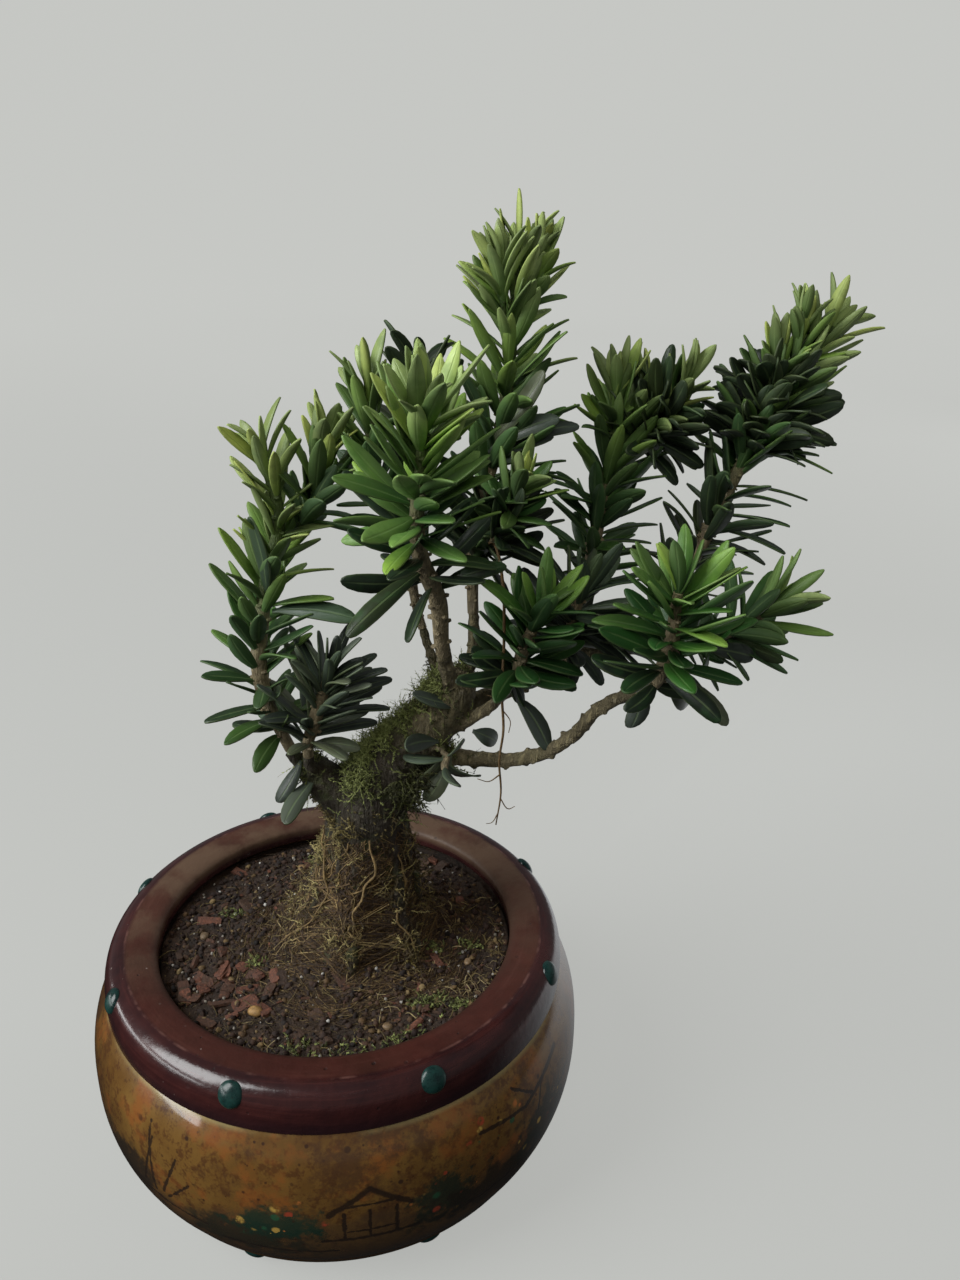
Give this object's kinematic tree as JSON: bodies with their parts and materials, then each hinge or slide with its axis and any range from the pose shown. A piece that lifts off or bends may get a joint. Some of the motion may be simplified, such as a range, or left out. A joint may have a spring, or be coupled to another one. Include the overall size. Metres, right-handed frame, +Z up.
{
  "type": "buddhist pine bonsai",
  "caption": "Small bonsai tree with a buttressed mossy trunk, forked limbs and spiral leafy shoots, growing from soil in a round drum-shaped glazed pot with a studded rim band.",
  "frame": {"origin": "centre of the pot's flat base, at the table surface", "axes": "+Z up the tree, -Y towards the viewer of the picture, +X to the viewer's right, where the crown leans"},
  "size_m": [0.1738, 0.11, 0.2077],
  "materials": {
    "glaze": "burgundy and ochre glaze, glossy, with a matte lip and dark green studs",
    "soil": "damp dark brown potting soil with grit, bark chips and moss",
    "bark": "rough brown bark with green moss and fibrous roots",
    "young_leaf": "waxy bright yellow-green leaves",
    "grown_leaf": "waxy mid-green leaves with paler tips",
    "old_leaf": "waxy near-black green old leaves"
  },
  "bodies": {
    "root": {"pot": "glaze", "soil": "soil", "trunk": "bark", "spray_front_top": "young_leaf", "spray_front_right": "young_leaf", "spray_front_low": "young_leaf", "spray_centre_tall": "grown_leaf", "spray_right_tall": "grown_leaf", "spray_right_mid": "grown_leaf", "spray_right_low": "grown_leaf", "spray_left_tall": "grown_leaf", "spray_back_left": "grown_leaf", "spray_centre_low": "old_leaf", "spray_left_low": "old_leaf", "spray_low_twig": "old_leaf"}
  },
  "joints": []
}
